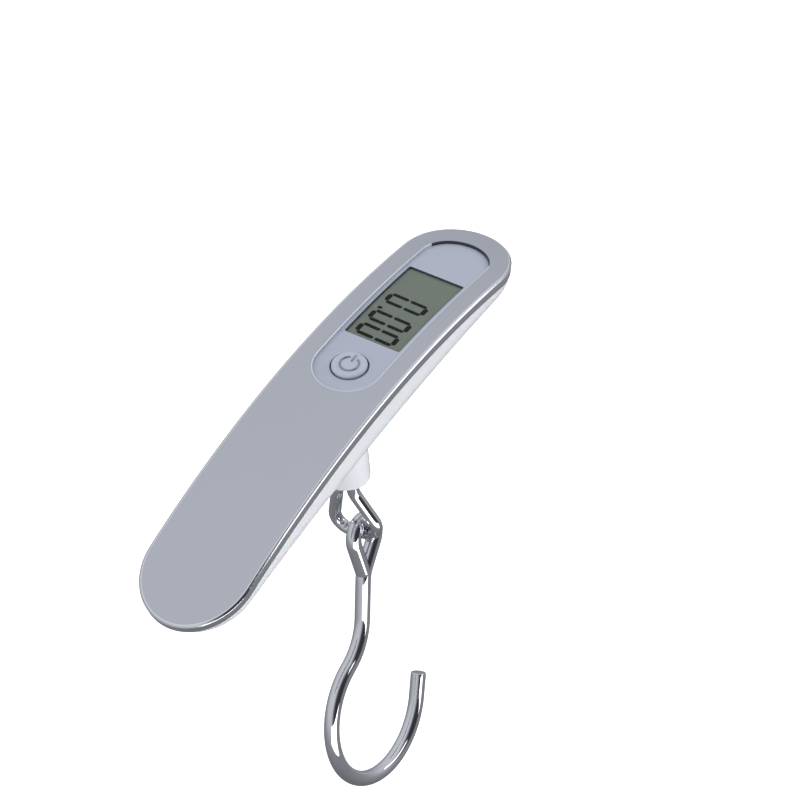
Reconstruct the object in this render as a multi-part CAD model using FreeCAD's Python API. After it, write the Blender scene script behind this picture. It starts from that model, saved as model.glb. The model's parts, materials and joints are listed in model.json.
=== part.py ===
import FreeCAD, Part
import math
import os

# Digital luggage scale, in millimetres.  The origin is the centre of the grip's face, where the
# load axis meets it.  +X runs along the grip towards the display, +Z is the face's outward normal
# at the origin, and the neck, link and hook hang towards -Z.
# Places on the arched face are given by an arc length along it from the origin and a depth below it.

# ---- driving dimensions: the grip ----
GRIP_WIDTH = 30.0
GRIP_HALF_ARC = 78.6
FACE_RADIUS = 250.0
END_ROUND = 17.2
GRIP_THICKNESS = 16.0
UNDERSIDE_RADIUS = 620.0
LOWER_EDGE_ROUND = 8.5
WALL = 1.6

# ---- trim plate, panel and read-out ----
BAND_DEPTH = 2.9
BEVEL = 0.53
PLATE_FACE = 0.8
PLATE_SKIRT = 1.0
SHELL_INSET = 0.2
FILM = 0.2
WINDOW_START = 0.4
WINDOW_END = 70.9
WINDOW_HALF_WIDTH = 9.3
PANEL_MARGIN = 1.3
PANEL_THICKNESS = 1.0
READOUT_START = 21.0
READOUT_END = 53.1
READOUT_HALF_WIDTH = 8.15
LENS_RECESS = 0.2
LENS_THICKNESS = 0.6
FIT_GAP = 0.05

# ---- button ----
BUTTON_ARC = 10.1
BUTTON_RADIUS = 4.7
BUTTON_HOLE_RADIUS = 5.0
BUTTON_FLANGE_RADIUS = 5.6
BUTTON_PROUD = 0.8
BUTTON_TRAVEL = 0.35
PLUNGER_RADIUS = 1.75

# ---- electronics, drawn in the board's own flat frame ----
BOARD_ARC = 35.0
BOARD_TOP = -7.2
BOARD_THICKNESS = 1.0
BOARD_START = -30.0
BOARD_END = 28.0
BOARD_HALF_WIDTH = 11.0
LCD_START = -17.0
LCD_END = 21.0
LCD_HALF_WIDTH = 10.2
LCD_TOP = -2.85
LCD_THICKNESS = 1.8
CELL_CENTRE = -9.0
CELL_RADIUS = 10.0
CELL_TOP = -8.8
CELL_THICKNESS = 3.2

# ---- battery door ----
DOOR_START = 11.8
DOOR_HINGE_X = 35.8
DOOR_HINGE_RADIUS = 0.85
DOOR_HALF_WIDTH = 11.3
DOOR_GAP = 0.2

# ---- load cell and neck ----
BEAM_ROOT = -41.0
BEAM_TIP = 4.4
BEAM_HALF_WIDTH = 6.0
BEAM_TOP = -8.4
BEAM_BOTTOM = -13.4
NECK_HALF_LENGTH = 6.8
NECK_HALF_WIDTH = 9.5
NECK_WALL = 1.5
NECK_BOTTOM = -32.0
NECK_ROUND = 2.0
NECK_FLOOR = 1.2
NECK_ROOT_ROUND = 2.5
LOAD_PIN_Z = -29.0
LOAD_PIN_RADIUS = 1.0

# ---- link and hook, drawn hanging straight down and then swung ----
LINK_WIRE_RADIUS = 1.7
LINK_TOP_RADIUS = 2.75
LINK_SPLAY = 22.0
LINK_SPLAY_BEND = 6.0
LINK_HALF_WIDTH = 6.56
LINK_CORNER = 4.2
LINK_LENGTH = 24.0
LINK_SWING = -12.5
HOOK_WIRE_RADIUS = 2.1
HOOK_SIDE_OFFSET = -1.5
HOOK_LEAN = -1.2
HOOK_SWING = -28.84
EYE_RADIUS = 4.7
EYE_CENTRE = 0.85
EYE_TAPER = 27.0
SHANK_BEND = 8.0
SHANK_END = 23.75
BOWL_RADIUS = 19.3
BOWL_OFFSET = 6.68
BOWL_DEPTH = 50.89
TIP_FLARE = 5.5
TIP_LENGTH = 6.7

X_AXIS = FreeCAD.Vector(1, 0, 0)
Y_AXIS = FreeCAD.Vector(0, 1, 0)
Z_AXIS = FreeCAD.Vector(0, 0, 1)
ORIGIN = FreeCAD.Vector(0, 0, 0)
HALF_WIDTH = GRIP_WIDTH / 2


# ---------------------------------------------------------------- places on the arched grip

def face_point(arc, depth, y=0.0):
    """The point at an arc length along the face and a depth below it."""
    angle = arc / FACE_RADIUS
    radius = FACE_RADIUS - depth
    return FreeCAD.Vector(radius * math.sin(angle), y, radius * math.cos(angle) - FACE_RADIUS)


def seat(shape, arc, y=0.0):
    """Set a shape drawn on the XY plane, +Z outward, on the face at an arc length."""
    placed = shape.copy()
    placed.rotate(ORIGIN, Y_AXIS, math.degrees(arc / FACE_RADIUS))
    placed.translate(face_point(arc, 0.0, y))
    return placed


def on_board(shape):
    return seat(shape, BOARD_ARC)


def board_place(point):
    """A point's place along the board and above the face line, in the board's frame."""
    angle = BOARD_ARC / FACE_RADIUS
    offset = point - face_point(BOARD_ARC, 0.0)
    along = offset.x * math.cos(angle) - offset.z * math.sin(angle)
    above = offset.x * math.sin(angle) + offset.z * math.cos(angle)
    return along, above


def box(x0, x1, y0, y1, z0, z1):
    return Part.makeBox(x1 - x0, y1 - y0, z1 - z0, FreeCAD.Vector(x0, y0, z0))


def rod(radius, z0, z1, x=0.0, y=0.0):
    return Part.makeCylinder(radius, z1 - z0, FreeCAD.Vector(x, y, z0), Z_AXIS)


def rounded_plate(x0, x1, y0, y1, z0, z1, corner):
    plate = box(x0, x1, y0, y1, z0, z1)
    uprights = [e for e in plate.Edges if abs(e.tangentAt(e.FirstParameter).z) > 0.99]
    return plate.makeFillet(corner, uprights)


def fuse_all(shapes):
    whole = shapes[0]
    for shape in shapes[1:]:
        whole = whole.fuse(shape)
    return whole.removeSplitter()


def cut_all(shape, tools):
    for tool in tools:
        shape = shape.cut(tool)
    return shape


def swing_about(shape, centre, axis, angle):
    placed = shape.copy()
    placed.rotate(centre, axis, angle)
    return placed


def arc_block(arc0, arc1, y0, y1, depth0, depth1):
    """A block that follows the face between two arc lengths, two widths and two depths."""
    middle = (arc0 + arc1) / 2
    top = Part.Arc(face_point(arc0, depth0), face_point(middle, depth0), face_point(arc1, depth0))
    low = Part.Arc(face_point(arc1, depth1), face_point(middle, depth1), face_point(arc0, depth1))
    edges = [
        top.toShape(),
        Part.makeLine(face_point(arc1, depth0), face_point(arc1, depth1)),
        low.toShape(),
        Part.makeLine(face_point(arc0, depth1), face_point(arc0, depth0)),
    ]
    side = Part.Face(Part.Wire(edges))
    side.translate(FreeCAD.Vector(0, y0, 0))
    return side.extrude(FreeCAD.Vector(0, y1 - y0, 0))


def round_end(arc, half_width, length, side, depth0, depth1):
    """Half an elliptic cylinder standing on the face, its flat side at an arc length."""
    if length > half_width:
        oval = Part.Ellipse(ORIGIN, length, half_width)
    else:
        oval = Part.Circle(ORIGIN, Z_AXIS, half_width)
    rim = Part.Arc(oval, -math.pi / 2, math.pi / 2).toShape()
    chord = Part.makeLine(FreeCAD.Vector(0, half_width, 0), FreeCAD.Vector(0, -half_width, 0))
    half = Part.Face(Part.Wire([rim, chord])).extrude(FreeCAD.Vector(0, 0, depth1 - depth0))
    half.translate(FreeCAD.Vector(0, 0, -depth1))
    if side < 0:
        half.rotate(ORIGIN, Z_AXIS, 180)
    return seat(half, arc)


def long_oval(start, end, half_width, end_length, depth0, depth1):
    """A prism that stands on the face, with straight sides and round ends, cut to two depths."""
    low = start + end_length
    high = end - end_length
    reach = 6.0
    middle = arc_block(low, high, -half_width, half_width, depth0 - reach, depth1 + reach)
    near = round_end(low, half_width, end_length, -1, depth0 - reach, depth1 + reach)
    far = round_end(high, half_width, end_length, 1, depth0 - reach, depth1 + reach)
    prism = fuse_all([middle, near, far])
    layer = arc_block(start - 3, end + 3, -HALF_WIDTH - 3, HALF_WIDTH + 3, depth0, depth1)
    return prism.common(layer)


def grip_outline(inset, depth0, depth1):
    return long_oval(-GRIP_HALF_ARC + inset, GRIP_HALF_ARC - inset, HALF_WIDTH - inset,
                     END_ROUND - inset, depth0, depth1)


# ---------------------------------------------------------------- rear shell

def underside_z(x):
    centre = -GRIP_THICKNESS - UNDERSIDE_RADIUS
    return centre + math.sqrt(UNDERSIDE_RADIUS ** 2 - x ** 2)


def shell_section(half_width, corner, bottom, top):
    """The shell's upright section in the YZ plane, with round lower corners."""
    flat = half_width - corner
    lift = corner * (1 - math.sqrt(0.5))
    swell = flat + corner * math.sqrt(0.5)
    right = Part.Arc(FreeCAD.Vector(0, flat, bottom), FreeCAD.Vector(0, swell, bottom + lift),
                     FreeCAD.Vector(0, half_width, bottom + corner))
    left = Part.Arc(FreeCAD.Vector(0, -half_width, bottom + corner),
                    FreeCAD.Vector(0, -swell, bottom + lift), FreeCAD.Vector(0, -flat, bottom))
    corners = [
        FreeCAD.Vector(0, half_width, bottom + corner),
        FreeCAD.Vector(0, half_width, top),
        FreeCAD.Vector(0, -half_width, top),
        FreeCAD.Vector(0, -half_width, bottom + corner),
    ]
    edges = [right.toShape()]
    edges += [Part.makeLine(a, b) for a, b in zip(corners, corners[1:])]
    edges += [left.toShape()]
    edges += [Part.makeLine(FreeCAD.Vector(0, -flat, bottom), FreeCAD.Vector(0, flat, bottom))]
    return Part.Face(Part.Wire(edges))


def shell_end(half_width, corner, bottom, top, length):
    """The shell's round end: the half section turned about an upright line and drawn out."""
    flat = half_width - corner
    lift = corner * (1 - math.sqrt(0.5))
    swell = flat + corner * math.sqrt(0.5)
    low_corner = Part.Arc(FreeCAD.Vector(0, flat, bottom), FreeCAD.Vector(0, swell, bottom + lift),
                          FreeCAD.Vector(0, half_width, bottom + corner))
    edges = [
        Part.makeLine(FreeCAD.Vector(0, 0, bottom), FreeCAD.Vector(0, flat, bottom)),
        low_corner.toShape(),
        Part.makeLine(FreeCAD.Vector(0, half_width, bottom + corner), FreeCAD.Vector(0, half_width, top)),
        Part.makeLine(FreeCAD.Vector(0, half_width, top), FreeCAD.Vector(0, 0, top)),
        Part.makeLine(FreeCAD.Vector(0, 0, top), FreeCAD.Vector(0, 0, bottom)),
    ]
    end = Part.Face(Part.Wire(edges)).revolve(ORIGIN, Z_AXIS, -180)
    stretch = FreeCAD.Matrix()
    stretch.scale(length / half_width, 1.0, 1.0)
    return end.transformGeometry(stretch)


def shell_solid(offset):
    """The white shell's outer form, drawn inwards by an offset."""
    half_width = HALF_WIDTH - SHELL_INSET - offset
    length = END_ROUND - SHELL_INSET - offset
    corner = LOWER_EDGE_ROUND - offset
    bottom = -GRIP_THICKNESS + offset
    top = 6.0
    centre = FreeCAD.Vector(0, 0, -GRIP_THICKNESS - UNDERSIDE_RADIUS)
    end_x = (FACE_RADIUS - BAND_DEPTH) * math.sin((GRIP_HALF_ARC - END_ROUND) / FACE_RADIUS) - 0.8
    turn = math.degrees(math.asin(end_x / UNDERSIDE_RADIUS))
    section = shell_section(half_width, corner, bottom, top)
    middle = swing_about(section, centre, Y_AXIS, -turn).revolve(centre, Y_AXIS, 2 * turn)
    far = shell_end(half_width, corner, bottom, top, length)
    near = swing_about(far, ORIGIN, Z_AXIS, 180)
    far = swing_about(far, centre, Y_AXIS, turn)
    near = swing_about(near, centre, Y_AXIS, -turn)
    whole = fuse_all([middle, near, far])
    below_band = arc_block(-GRIP_HALF_ARC - 3, GRIP_HALF_ARC + 3, -HALF_WIDTH, HALF_WIDTH,
                           BAND_DEPTH, BAND_DEPTH + 24)
    return whole.common(below_band)


def oval_rod(half_length, half_width, z0, z1):
    """An upright elliptic cylinder on the load axis, longer across the grip than along it."""
    oval = Part.Ellipse(ORIGIN, half_width, half_length)
    halves = [Part.Arc(oval, turn, turn + math.pi).toShape() for turn in (0.0, math.pi)]
    prism = Part.Face(Part.Wire(halves)).extrude(FreeCAD.Vector(0, 0, z1 - z0))
    prism.rotate(ORIGIN, Z_AXIS, 90)
    prism.translate(FreeCAD.Vector(0, 0, z0))
    return prism


def neck_outside():
    neck = oval_rod(NECK_HALF_LENGTH, NECK_HALF_WIDTH, NECK_BOTTOM, -GRIP_THICKNESS + 2.0)
    lower = [e for e in neck.Edges if e.BoundBox.ZMax < NECK_BOTTOM + 0.1]
    return neck.makeFillet(NECK_ROUND, lower)


# ---------------------------------------------------------------- grip pieces

def trim_plate():
    plate = grip_outline(0.0, 0.0, BAND_DEPTH)
    upper = []
    for edge in plate.Edges:
        radii = [math.hypot(p.x, p.z + FACE_RADIUS) for p in edge.discretize(5)]
        if all(abs(radius - FACE_RADIUS) < 0.01 for radius in radii):
            upper.append(edge)
    plate = plate.makeChamfer(BEVEL, upper)
    hollow = grip_outline(PLATE_SKIRT, PLATE_FACE, BAND_DEPTH + 1)
    return plate.cut(hollow).cut(window(0.0, -2, PLATE_FACE + 1))


def window(margin, depth0, depth1):
    half_width = WINDOW_HALF_WIDTH + margin
    return long_oval(WINDOW_START - margin, WINDOW_END + margin, half_width, half_width,
                     depth0, depth1)


def trim_adhesive():
    film = grip_outline(PLATE_SKIRT + FIT_GAP, PLATE_FACE, PLATE_FACE + FILM)
    return film.cut(window(PANEL_MARGIN + FIT_GAP, 0.0, 2.0))


def readout(margin, depth0, depth1):
    return arc_block(READOUT_START - margin, READOUT_END + margin,
                     -READOUT_HALF_WIDTH - margin, READOUT_HALF_WIDTH + margin, depth0, depth1)


def button_bore(radius, depth0, depth1):
    return seat(rod(radius, -depth1, -depth0), BUTTON_ARC)


def display_bezel():
    panel = window(PANEL_MARGIN, PLATE_FACE, PLATE_FACE + PANEL_THICKNESS)
    return cut_all(panel, [readout(0.0, 0.0, 4.0), button_bore(BUTTON_HOLE_RADIUS, 0.0, 4.0)])


def display_lens():
    top = PLATE_FACE + LENS_RECESS
    return readout(-FIT_GAP, top, top + LENS_THICKNESS)


def front_frame():
    top = PLATE_FACE + FILM
    frame = grip_outline(PLATE_SKIRT + FIT_GAP, top, BAND_DEPTH)
    lip = shell_solid(WALL + 0.1).cut(shell_solid(WALL + 1.3))
    lip = lip.common(arc_block(-GRIP_HALF_ARC, GRIP_HALF_ARC, -HALF_WIDTH, HALF_WIDTH,
                               BAND_DEPTH, BAND_DEPTH + 2.6))
    adds = [frame, lip]
    for x, y in HOUSING_SCREWS:
        face_z = math.sqrt(FACE_RADIUS ** 2 - x ** 2) - FACE_RADIUS
        adds.append(rod(2.4, tower_joint(x, y), face_z - BAND_DEPTH + 0.4, x, y))
    for u, v in BOARD_SCREWS:
        adds.append(on_board(rod(2.0, BOARD_TOP, -4.0, u, v)))
    frame = fuse_all(adds)
    pocket = window(PANEL_MARGIN + FIT_GAP, 0.0, PLATE_FACE + PANEL_THICKNESS)
    glass = on_board(box(LCD_START - 0.3, LCD_END + 0.3, -LCD_HALF_WIDTH - 0.3,
                         LCD_HALF_WIDTH + 0.3, -6.0, 1.0))
    tools = [pocket, glass, button_bore(BUTTON_FLANGE_RADIUS + 0.3, 0.0, 5.0)]
    tools += [screw_core(x, y) for x, y in HOUSING_SCREWS]
    tools += [on_board(rod(0.9, BOARD_TOP - 1, -4.2, u, v)) for u, v in BOARD_SCREWS]
    return cut_all(frame, tools)


# ---------------------------------------------------------------- rear housing

END_SCREW_X = FACE_RADIUS * math.sin(66.0 / FACE_RADIUS)
HOUSING_SCREWS = [(END_SCREW_X, 0.0), (-END_SCREW_X, 0.0), (-10.0, 10.2), (-10.0, -10.2)]
BOARD_SCREWS = [(25.2, 8.0), (25.2, -8.0), (-27.2, 8.5), (-27.2, -8.5)]
CELL_SCREW_X = [-37.0, -29.0]


def tower_joint(x, y):
    """Where a front tower meets the rear one that stands under it."""
    return underside_z(x) + 5.4 if y == 0 else -7.0


def screw_seat(x, y):
    return underside_z(x) + 1.7 if y == 0 else -13.4


def screw_core(x, y):
    return rod(1.05, screw_seat(x, y) - 0.5, screw_seat(x, y) + 8.0 - (1.2 if y == 0 else 0.0), x, y)


def door_opening(gap):
    """The space the door fills, drawn inwards by a gap, through the shell's wall."""
    end = DOOR_HINGE_X + DOOR_HINGE_RADIUS + DOOR_GAP
    plate = rounded_plate(DOOR_START + gap, end + 4, -DOOR_HALF_WIDTH + gap, DOOR_HALF_WIDTH - gap,
                          -24.0, -11.0, 3.0)
    return plate.common(box(DOOR_START - 1, end - gap, -20, 20, -30, 0))


def hinge_z():
    return underside_z(DOOR_HINGE_X) + DOOR_HINGE_RADIUS


def cross_rod(radius, y0, y1, x, z):
    return Part.makeCylinder(radius, y1 - y0, FreeCAD.Vector(x, y0, z), Y_AXIS)


def rear_housing():
    outer = shell_solid(0.0).fuse(neck_outside())
    seam = []
    for edge in outer.Edges:
        points = edge.discretize(7)
        on_neck = all(abs((p.x / NECK_HALF_LENGTH) ** 2 + (p.y / NECK_HALF_WIDTH) ** 2 - 1) < 0.01
                      for p in points)
        if on_neck and -17.5 < edge.CenterOfMass.z < -13:
            seam.append(edge)
    outer = outer.makeFillet(NECK_ROOT_ROUND, seam)
    housing = outer.cut(shell_solid(WALL))
    adds = [housing]
    inner = shell_solid(WALL - 0.6)
    for x, y in HOUSING_SCREWS:
        adds.append(rod(2.4, -24, tower_joint(x, y), x, y).common(inner))
    adds.append(box(BEAM_ROOT - 2, -24.5, -BEAM_HALF_WIDTH, BEAM_HALF_WIDTH, -20, BEAM_BOTTOM).common(inner))
    adds.append(box(10.0, DOOR_START + 1.1, -5.5, 5.5, -16, -13.2).common(inner))
    housing = fuse_all(adds)
    opening = door_opening(0.0)
    keep = box(DOOR_START - 2, DOOR_START + 2, -5.6, 5.6, underside_z(DOOR_START) + WALL + 0.15, -10)
    tools = [opening.cut(keep)]
    tools.append(oval_rod(NECK_HALF_LENGTH - NECK_WALL, NECK_HALF_WIDTH - NECK_WALL,
                          NECK_BOTTOM + NECK_FLOOR, -10.0))
    slot = rounded_plate(-2.2, 2.2, -6.3, 6.3, NECK_BOTTOM - 2, NECK_BOTTOM + 4, 2.15)
    tools.append(slot)
    for x, y in HOUSING_SCREWS:
        tools.append(screw_core(x, y))
        tools.append(rod(2.1, -24.0, screw_seat(x, y), x, y))
    tools += [rod(1.5, -15.9, -10, x) for x in CELL_SCREW_X]
    housing = cut_all(housing, tools)
    z = hinge_z()
    wall_x = DOOR_HINGE_X + DOOR_HINGE_RADIUS + DOOR_GAP
    for side in (-1, 1):
        y0, y1 = sorted((side * 6.9, side * 9.3))
        lug = cross_rod(1.2, y0, y1, DOOR_HINGE_X, z)
        web = box(DOOR_HINGE_X, wall_x + 0.6, y0, y1, z - 0.5, z + 1.2)
        housing = housing.fuse(lug.fuse(web).cut(shell_outside()))
    housing = housing.cut(cross_rod(0.45, -8.6, 8.6, DOOR_HINGE_X, z))
    return housing.removeSplitter()


def shell_outside():
    """Everything below and beside the shell's outer skin, to trim what must stay flush with it."""
    block = box(10, 50, -25, 25, -40, -8)
    return block.cut(shell_solid(0.0))


def battery_cover():
    wall = shell_solid(0.0).cut(shell_solid(WALL))
    z = hinge_z()
    patch = wall.common(door_opening(DOOR_GAP)).common(box(0, DOOR_HINGE_X, -20, 20, -40, 0))
    barrel = cross_rod(DOOR_HINGE_RADIUS, -6.6, 6.6, DOOR_HINGE_X, z)
    grip_rib = box(DOOR_START + 3.0, DOOR_START + 3.8, -5, 5, -17, underside_z(14) + 0.3)
    ribs = [grip_rib.copy() for _ in range(3)]
    for index, rib in enumerate(ribs):
        rib.translate(FreeCAD.Vector(index * 1.8, 0, 0))
    skin = shell_solid(-0.35)
    door = fuse_all([patch, barrel] + [rib.common(skin) for rib in ribs])
    tools = [cross_rod(0.5, -7, 7, DOOR_HINGE_X, z)]
    for side in (-1, 1):
        y0, y1 = sorted((side * 6.6, side * 9.6))
        tools.append(cross_rod(1.5, y0, y1, DOOR_HINGE_X, z))
        tools.append(box(DOOR_HINGE_X - 1.5, DOOR_HINGE_X + 2, y0, y1, z, z + 3))
    return cut_all(door, tools)


def door_hinge_pin():
    return cross_rod(0.45, -8.6, 8.6, DOOR_HINGE_X, hinge_z())


def pan_screw(head_radius, head_height, shank_radius, length):
    """A screw that points to +Z, its head's underside on the XY plane."""
    screw = rod(head_radius, -head_height, 0).fuse(rod(shank_radius, 0, length)).removeSplitter()
    slot = box(-0.25, 0.25, -head_radius * 0.6, head_radius * 0.6, -head_height - 1, -head_height + 0.4)
    cross = swing_about(slot, ORIGIN, Z_AXIS, 90)
    return screw.cut(slot).cut(cross)


def housing_screw(x, y):
    screw = pan_screw(1.9, 1.2, 1.05, 7.4 - (1.2 if y == 0 else 0.0))
    screw.translate(FreeCAD.Vector(x, y, screw_seat(x, y)))
    return screw


# ---------------------------------------------------------------- electronics

def power_button():
    top = PLATE_FACE - BUTTON_PROUD
    flange_top = PLATE_FACE + PANEL_THICKNESS + 0.15
    cap = rod(BUTTON_RADIUS, -flange_top - 0.1, -top)
    rim = [e for e in cap.Edges if e.BoundBox.ZMin > -top - 0.01]
    cap = cap.makeChamfer(0.35, rim)
    flange = rod(BUTTON_FLANGE_RADIUS, -flange_top - 0.6, -flange_top)
    stem = rod(1.5, -9.0, -flange_top - 0.3)
    mark = rod(2.75, -top - 0.05, -top + 0.1).cut(rod(2.25, -top - 1, -top + 1))
    mark = mark.cut(box(0.9, 4.0, -1.1, 1.1, -top - 1, -top + 1))
    mark = mark.fuse(box(1.2, 3.3, -0.25, 0.25, -top - 0.05, -top + 0.1))
    button = seat(fuse_all([cap, flange, stem, mark]), BUTTON_ARC)
    below = on_board(box(-60, 60, -20, 20, -30, PLUNGER_TOP + 0.08))
    return button.cut(below)


SWITCH_HEIGHT = 3.0
SWITCH_TOP = BOARD_TOP + SWITCH_HEIGHT
PLUNGER_TOP = SWITCH_TOP + 0.6


def switch_place():
    """Where the button's axis passes through the plunger's top, along the board."""
    depth = 4.0
    for _ in range(20):
        along, above = board_place(face_point(BUTTON_ARC, depth))
        depth += above - PLUNGER_TOP
    return along


def button_switch():
    u = switch_place()
    case = box(u - 3, u + 3, -3, 3, BOARD_TOP, SWITCH_TOP)
    case = case.cut(rod(PLUNGER_RADIUS + 0.05, SWITCH_TOP - 1.25, SWITCH_TOP + 1, u))
    return on_board(case)


def switch_plunger():
    return on_board(rod(PLUNGER_RADIUS, SWITCH_TOP - 0.8, PLUNGER_TOP, switch_place()))


def lcd_panel():
    return on_board(box(LCD_START, LCD_END, -LCD_HALF_WIDTH, LCD_HALF_WIDTH,
                        LCD_TOP - LCD_THICKNESS, LCD_TOP))


LCD_BOTTOM = LCD_TOP - LCD_THICKNESS


def lcd_reflector():
    return on_board(box(LCD_START + 1, LCD_END - 1, -8.2, 8.2, LCD_BOTTOM - 0.6, LCD_BOTTOM))


def zebra_strip(side):
    y0, y1 = sorted((side * 8.5, side * 9.8))
    return on_board(box(LCD_START + 3, LCD_END - 3, y0, y1, BOARD_TOP, LCD_BOTTOM))


def lcd_holder():
    outer = box(LCD_START - 1.3, LCD_END + 1.3, -11.3, 11.3, BOARD_TOP, -4.1)
    inner = box(LCD_START - 0.1, LCD_END + 0.1, -LCD_HALF_WIDTH - 0.1, LCD_HALF_WIDTH + 0.1, -9, 0)
    lugs = [box(u - 1, u + 1, -1.6, 1.6, BOARD_TOP - BOARD_THICKNESS, BOARD_TOP + 0.5)
            for u in (LCD_START - 0.7 + 0.4, LCD_END + 0.3)]
    return on_board(fuse_all([outer.cut(inner)] + [lug.common(outer_band()) for lug in lugs]))


def outer_band():
    """The band under the holder's own end walls, where its two board pegs stand."""
    band = box(LCD_START - 1.3, LCD_END + 1.3, -11.3, 11.3, -12, 0)
    return band.cut(box(LCD_START - 0.1, LCD_END + 0.1, -12, 12, -13, 1))


def circuit_board():
    board = rounded_plate(BOARD_START, BOARD_END, -BOARD_HALF_WIDTH, BOARD_HALF_WIDTH,
                          BOARD_TOP - BOARD_THICKNESS, BOARD_TOP, 2.0)
    tools = [rod(1.0, -12, 0, u, v) for u, v in BOARD_SCREWS]
    tools.append(box(LCD_START - 1.35, LCD_START - 0.05, -1.65, 1.65, -12, 0))
    tools.append(box(LCD_END + 0.05, LCD_END + 1.35, -1.65, 1.65, -12, 0))
    return on_board(cut_all(board, tools))


def board_screw(u, v):
    screw = pan_screw(1.7, 1.1, 0.9, 3.6)
    screw.translate(FreeCAD.Vector(u, v, BOARD_TOP - BOARD_THICKNESS))
    return on_board(screw)


def controller_chip():
    bottom = BOARD_TOP - BOARD_THICKNESS
    ball = Part.makeSphere(9.0, FreeCAD.Vector(13.5, 0, bottom + 7.6))
    return on_board(ball.common(box(0, 25, -9, 9, -15, bottom)))


def board_component(u, v, length, width, height):
    bottom = BOARD_TOP - BOARD_THICKNESS
    return on_board(box(u - length / 2, u + length / 2, v - width / 2, v + width / 2,
                        bottom - height, bottom))


def crystal():
    bottom = BOARD_TOP - BOARD_THICKNESS
    can = Part.makeCylinder(1.0, 6.0, FreeCAD.Vector(17.0, -7.6, bottom - 1.0), X_AXIS)
    return on_board(can)


def battery():
    bottom = CELL_TOP - CELL_THICKNESS
    can = rod(CELL_RADIUS, bottom, CELL_TOP - 0.5, CELL_CENTRE)
    can = can.makeFillet(0.5, [e for e in can.Edges if e.BoundBox.ZMax < bottom + 0.01])
    cap = rod(CELL_RADIUS - 1.4, CELL_TOP - 0.6, CELL_TOP, CELL_CENTRE)
    return on_board(can.fuse(cap).removeSplitter())


def battery_holder():
    under = BOARD_TOP - BOARD_THICKNESS
    bottom = CELL_TOP - CELL_THICKNESS
    ring = rod(11.6, bottom, under, CELL_CENTRE).cut(rod(10.15, bottom - 1, under + 1, CELL_CENTRE))
    slot = box(CELL_CENTRE + 8.8, CELL_CENTRE + 12.5, -3.0, 3.0, bottom - 1, under + 1)
    ring = on_board(ring.cut(slot))
    return ring.common(shell_solid(WALL + 0.4))


def battery_contact_negative():
    under = BOARD_TOP - BOARD_THICKNESS
    plate = rod(5.5, under - 0.3, under, CELL_CENTRE)
    bump = rod(1.5, CELL_TOP, under, CELL_CENTRE)
    return on_board(plate.fuse(bump).removeSplitter())


def battery_contact_positive():
    under = BOARD_TOP - BOARD_THICKNESS
    bottom = CELL_TOP - CELL_THICKNESS
    rim = CELL_CENTRE + CELL_RADIUS
    strip = box(rim + 0.1, rim + 0.4, -2.5, 2.5, bottom - 0.3, under)
    foot = box(rim - 2.5, rim + 0.4, -2.5, 2.5, bottom - 0.3, bottom)
    return on_board(strip.fuse(foot).removeSplitter())


# ---------------------------------------------------------------- load cell

def load_cell():
    beam = box(BEAM_ROOT, BEAM_TIP, -BEAM_HALF_WIDTH, BEAM_HALF_WIDTH, BEAM_BOTTOM, BEAM_TOP)
    middle = (BEAM_TOP + BEAM_BOTTOM) / 2
    tools = [cross_rod(1.75, -10, 10, x, middle) for x in (-18.0, -10.0)]
    tools.append(box(-18.0, -10.0, -10, 10, middle - 0.7, middle + 0.7))
    tools += [rod(1.6, -20, 0, x) for x in CELL_SCREW_X + [0.0]]
    return cut_all(beam, tools)


def strain_gauge(x, upper):
    half_width = 4.7 if x < -14 else 3.7
    z = BEAM_TOP if upper else BEAM_BOTTOM - 0.15
    return box(x - 2, x + 2, -half_width, half_width, z, z + 0.15)


def turned_screw(head_radius, head_height, shank_radius, length, x, z):
    screw = pan_screw(head_radius, head_height, shank_radius, length)
    screw.rotate(ORIGIN, X_AXIS, 180)
    screw.translate(FreeCAD.Vector(x, 0, z))
    return screw


def load_hanger():
    stem = rod(2.9, -24.0, BEAM_BOTTOM)
    fork = box(-3.8, 3.8, -2.5, 2.5, LOAD_PIN_Z - 1.7, -21.0)
    gap = box(-2.1, 2.1, -5, 5, LOAD_PIN_Z - 5, LOAD_PIN_Z + LINK_TOP_RADIUS + LINK_WIRE_RADIUS + 0.5)
    hanger = fuse_all([stem, fork.cut(gap)])
    eye = Part.makeCylinder(LOAD_PIN_RADIUS, 12, FreeCAD.Vector(-6, 0, LOAD_PIN_Z), X_AXIS)
    return cut_all(hanger, [eye, rod(1.5, -21.0, 0)])


def load_pin():
    return Part.makeCylinder(LOAD_PIN_RADIUS, 8.4, FreeCAD.Vector(-4.2, 0, LOAD_PIN_Z), X_AXIS)


def gauge_wire(start_x, y):
    """A lead from a gauge along the beam's top, round one bend and up to the board."""
    wire_radius = 0.3
    z = BEAM_TOP + wire_radius
    moves = [(5.0 - start_x, 0, 0), (0, 1.0, 90), (4.0, 0, 0)]
    lead = bent_wire((start_x, z), 0, moves, wire_radius, lambda a, b: FreeCAD.Vector(a, y, b))
    above = on_board(box(-60, 60, -20, 20, BOARD_TOP - BOARD_THICKNESS, 20))
    return lead.cut(above)


# ---------------------------------------------------------------- bent wire

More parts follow.
